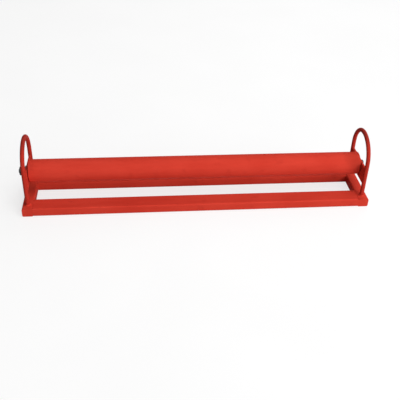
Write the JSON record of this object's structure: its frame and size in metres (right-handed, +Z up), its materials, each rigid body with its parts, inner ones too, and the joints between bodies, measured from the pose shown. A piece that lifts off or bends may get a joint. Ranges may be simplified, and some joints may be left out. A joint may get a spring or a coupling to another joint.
{
  "type": "cable guide roller",
  "caption": "Wide ground roller for cable laying: a plain steel tube turning on a fixed axle, in a low welded base of hollow section with a round-bar hoop at each end.",
  "frame": {"origin": "on the floor, at the middle of the base's length and depth, below the roller's axis", "axes": "+X along the roller towards the axle's plain end, +Y towards the back, +Z up"},
  "size_m": [0.993, 0.18, 0.2],
  "materials": {
    "red_paint": "glossy red paint",
    "black_steel": "blackened steel",
    "bare_steel": "turned steel",
    "bearing_steel": "ground steel",
    "seal_rubber": "matt black rubber"
  },
  "bodies": {
    "frame": {"front_rail": "red_paint", "rear_rail": "red_paint", "left_cross_member": "red_paint", "right_cross_member": "red_paint", "left_end_caps": "red_paint", "right_end_caps": "red_paint", "left_hoop": "red_paint", "right_hoop": "red_paint", "left_axle_strap": "red_paint", "right_axle_strap": "red_paint", "axle": "black_steel", "axle_ring": "black_steel", "axle_washer": "black_steel", "axle_nut": "black_steel", "left_spacer": "bare_steel", "right_spacer": "bare_steel", "distance_sleeve": "bare_steel", "left_bearing_inner_ring": "bearing_steel", "right_bearing_inner_ring": "bearing_steel"},
    "roller": {"roller_tube": "red_paint", "left_hub": "red_paint", "right_hub": "red_paint", "left_bearing_outer_ring": "bearing_steel", "right_bearing_outer_ring": "bearing_steel", "left_bearing_seals": "seal_rubber", "right_bearing_seals": "seal_rubber", "left_snap_ring": "black_steel", "right_snap_ring": "black_steel"},
    "left_ball_set": {"left_bearing_balls": "bearing_steel", "left_bearing_cage": "bearing_steel"},
    "right_ball_set": {"right_bearing_balls": "bearing_steel", "right_bearing_cage": "bearing_steel"}
  },
  "joints": [
    {"name": "roller_spin", "type": "hinge", "parent": "frame", "child": "roller", "pos_m": [0, 0, 0.094], "axis": [1, 0, 0], "continuous": true},
    {"name": "left_ball_orbit", "type": "hinge", "parent": "frame", "child": "left_ball_set", "pos_m": [-0.45948, 0, 0.094], "axis": [1, 0, 0], "continuous": true},
    {"name": "right_ball_orbit", "type": "hinge", "parent": "frame", "child": "right_ball_set", "pos_m": [0.45948, 0, 0.094], "axis": [1, 0, 0], "continuous": true}
  ],
  "couplings": [
    {"joint": "left_ball_orbit", "follows": "roller_spin", "ratio": 0.61842},
    {"joint": "right_ball_orbit", "follows": "roller_spin", "ratio": 0.61842}
  ]
}
